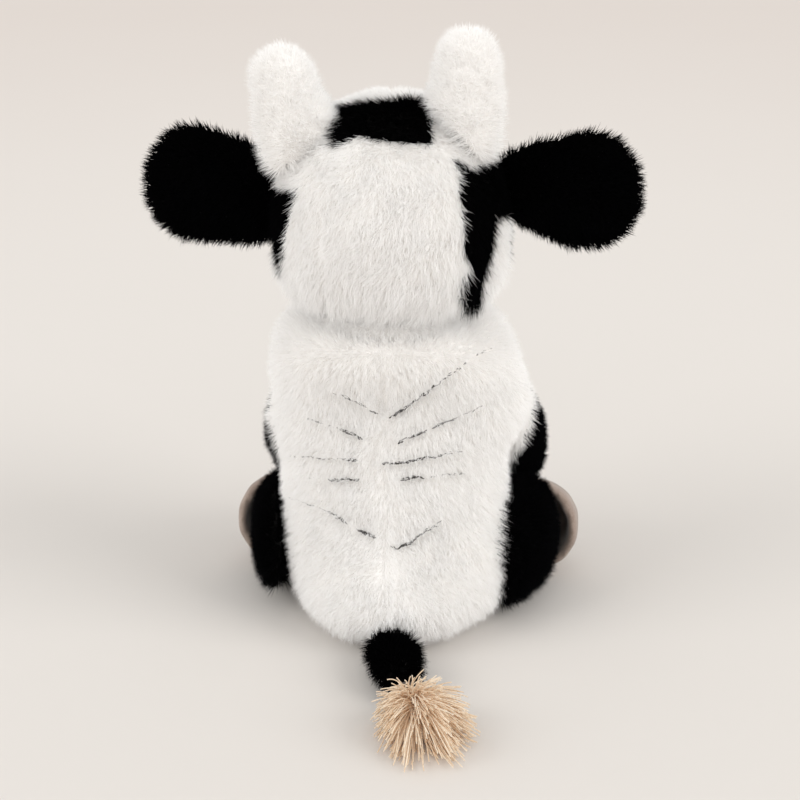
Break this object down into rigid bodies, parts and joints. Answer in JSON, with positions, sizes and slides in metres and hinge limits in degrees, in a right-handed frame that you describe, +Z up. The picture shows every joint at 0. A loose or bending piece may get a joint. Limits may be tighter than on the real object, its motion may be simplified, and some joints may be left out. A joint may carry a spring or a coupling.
{
  "type": "plush cow",
  "caption": "Seated plush cow: furry panelled skins over stuffing, with head, horns, ears, arms, legs and a tufted tail that bend at their seams and spring back.",
  "frame": {"origin": "the middle of the flat seat that the cow sits on", "axes": "+Z up; the cow faces -Y, with its tail along +Y; its own left is +X"},
  "size_m": [0.242, 0.2642, 0.307],
  "materials": {
    "white_pile": "long fluffy polyester pile on a knitted backing",
    "black_pile": "long fluffy polyester pile on a knitted backing",
    "short_velour": "short dense pile",
    "fibre": "loose polyester fibre filling",
    "pellet_cloth": "closely woven bag cloth",
    "yarn": "smooth twisted yarn",
    "thread": "stitched thread",
    "eye_plastic": "moulded, polished",
    "washer_plastic": "moulded, plain"
  },
  "bodies": {
    "torso": {"back_left_panel": "white_pile", "back_right_panel": "white_pile", "belly_panel": "white_pile", "seat_panel": "white_pile", "body_stuffing": "fibre", "pellet_bag": "pellet_cloth"},
    "neck": {"neck_stuffing": "fibre"},
    "head": {"head_back_panel": "white_pile", "head_crown_panel": "black_pile", "head_face_panel": "white_pile", "left_patch_panel": "black_pile", "right_patch_panel": "black_pile", "left_cheek_panel": "white_pile", "right_cheek_panel": "white_pile", "head_stuffing": "fibre", "muzzle_cover": "short_velour", "muzzle_stuffing": "fibre", "left_eye": "eye_plastic", "right_eye": "eye_plastic", "left_eye_washer": "washer_plastic", "right_eye_washer": "washer_plastic", "left_nostril": "thread", "right_nostril": "thread"},
    "left_ear": {"left_ear_back": "black_pile", "left_ear_lining": "short_velour"},
    "right_ear": {"right_ear_back": "black_pile", "right_ear_lining": "short_velour"},
    "left_horn": {"left_horn_cover": "white_pile", "left_horn_stuffing": "fibre"},
    "right_horn": {"right_horn_cover": "white_pile", "right_horn_stuffing": "fibre"},
    "left_arm": {"left_arm_cover": "black_pile", "left_arm_stuffing": "fibre", "left_front_hoof": "short_velour"},
    "right_arm": {"right_arm_cover": "black_pile", "right_arm_stuffing": "fibre", "right_front_hoof": "short_velour"},
    "left_leg": {"left_leg_cover": "black_pile", "left_leg_stuffing": "fibre", "left_hind_hoof": "short_velour"},
    "right_leg": {"right_leg_cover": "black_pile", "right_leg_stuffing": "fibre", "right_hind_hoof": "short_velour"},
    "tail": {"tail_cover": "black_pile", "tail_stuffing": "fibre", "tail_tuft": "yarn", "tuft_binding": "thread"}
  },
  "joints": [
    {"name": "head_turn", "type": "hinge", "parent": "torso", "child": "neck", "pos_m": [0, 0, 0.16195], "axis": [0, 0, 1], "range_deg": [-40, 40], "stiffness_Nm_per_rad": 0.4},
    {"name": "head_nod", "type": "hinge", "parent": "neck", "child": "head", "pos_m": [0, 0, 0.16195], "axis": [1, 0, 0], "range_deg": [-8, 8], "stiffness_Nm_per_rad": 0.6},
    {"name": "left_ear_swing", "type": "hinge", "parent": "head", "child": "left_ear", "pos_m": [0.063, 0, 0.21595], "axis": [0, 0, 1], "range_deg": [-25, 25], "stiffness_Nm_per_rad": 0.05},
    {"name": "right_ear_swing", "type": "hinge", "parent": "head", "child": "right_ear", "pos_m": [-0.063, 0, 0.21595], "axis": [0, 0, 1], "range_deg": [-25, 25], "stiffness_Nm_per_rad": 0.05},
    {"name": "left_horn_lean", "type": "hinge", "parent": "head", "child": "left_horn", "pos_m": [0.042, 0.016, 0.24795], "axis": [0, 1, 0], "range_deg": [-8, 8], "stiffness_Nm_per_rad": 0.08},
    {"name": "right_horn_lean", "type": "hinge", "parent": "head", "child": "right_horn", "pos_m": [-0.036, 0.016, 0.24795], "axis": [0, 1, 0], "range_deg": [-8, 8], "stiffness_Nm_per_rad": 0.08},
    {"name": "left_arm_swing", "type": "hinge", "parent": "torso", "child": "left_arm", "pos_m": [0.05, -0.006, 0.13464], "axis": [-1, 0, 0], "range_deg": [0, 60], "stiffness_Nm_per_rad": 0.15},
    {"name": "right_arm_swing", "type": "hinge", "parent": "torso", "child": "right_arm", "pos_m": [-0.05, -0.006, 0.13464], "axis": [-1, 0, 0], "range_deg": [0, 60], "stiffness_Nm_per_rad": 0.15},
    {"name": "left_leg_splay", "type": "hinge", "parent": "torso", "child": "left_leg", "pos_m": [0.052, 0.03, 0.0326], "axis": [0, 0, 1], "range_deg": [0, 18], "stiffness_Nm_per_rad": 0.4},
    {"name": "right_leg_splay", "type": "hinge", "parent": "torso", "child": "right_leg", "pos_m": [-0.052, 0.03, 0.0326], "axis": [0, 0, -1], "range_deg": [0, 18], "stiffness_Nm_per_rad": 0.4},
    {"name": "tail_lift", "type": "hinge", "parent": "torso", "child": "tail", "pos_m": [0, 0.054, 0.024], "axis": [1, 0, 0], "range_deg": [0, 35], "stiffness_Nm_per_rad": 0.05}
  ]
}
